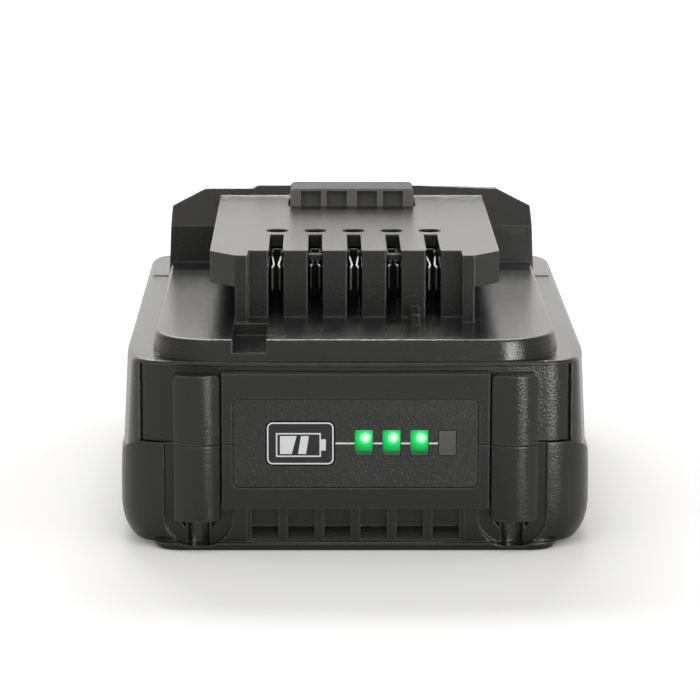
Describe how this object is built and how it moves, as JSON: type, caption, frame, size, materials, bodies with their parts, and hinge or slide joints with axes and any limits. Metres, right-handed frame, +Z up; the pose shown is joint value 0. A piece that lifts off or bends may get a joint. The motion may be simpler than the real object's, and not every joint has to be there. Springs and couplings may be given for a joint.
{
  "type": "power tool battery pack",
  "caption": "Slide-on lithium battery pack for a cordless tool, with a T-rail and slotted terminals on top, a sprung release latch and a front charge gauge with lit bars.",
  "frame": {"origin": "centre of the pack's box, on the surface that it stands on", "axes": "+Z up, +X to the right seen from the gauge, +Y from the gauge to the thumb pad of the latch"},
  "size_m": [0.0804, 0.1178, 0.0505],
  "materials": {
    "housing": "fine spark texture, satin",
    "latch": "matte",
    "panel": "grained, with printed lines",
    "light_on": "clear light pipe, lit green",
    "light_off": "clear light pipe, unlit",
    "lamp": "clear resin",
    "steel": "zinc plated",
    "spring_steel": "drawn wire",
    "tinned_copper": "tin plated sheet",
    "nickel": "nickel strip with weld spots",
    "cell": "shrink sleeve over a can, with a cell's average density",
    "rack": "matte",
    "shield": "fibre sheet",
    "board": "solder mask",
    "components": "moulded",
    "cable": "flat ribbon"
  },
  "bodies": {
    "pack": {"lower_housing": "housing", "upper_housing": "housing", "housing_screws": "steel", "gauge_panel": "panel", "gauge_switch": "components", "led_window_1": "light_on", "led_window_2": "light_on", "led_window_3": "light_on", "led_window_4": "light_off", "gauge_board": "board", "gauge_leds": "lamp", "gauge_cable": "cable", "cell_1": "cell", "cell_2": "cell", "cell_3": "cell", "cell_4": "cell", "cell_5": "cell", "cell_holder_left": "rack", "cell_holder_right": "rack", "bus_bars_left": "nickel", "bus_bars_right": "nickel", "end_insulator_left": "shield", "end_insulator_right": "shield", "thermistor": "components", "main_board": "board", "board_components": "components", "power_terminals": "tinned_copper", "signal_terminals": "tinned_copper", "spring_seat": "rack", "latch_spring_left": "spring_steel", "latch_spring_right": "spring_steel"},
    "latch": {"release_latch": "latch"},
    "gauge_key": {"gauge_button": "panel", "switch_plunger": "steel"}
  },
  "joints": [
    {"name": "latch_press", "type": "slide", "parent": "pack", "child": "latch", "axis": [0, 0, -1], "range_m": [0, 0.004], "stiffness_N_per_m": 800, "springref_m": -0.004, "deforming": ["latch_spring_left", "latch_spring_right"]},
    {"name": "gauge_press", "type": "slide", "parent": "pack", "child": "gauge_key", "axis": [0, 1, 0], "range_m": [0, 0.00035], "stiffness_N_per_m": 1000, "springref_m": -0.001}
  ]
}
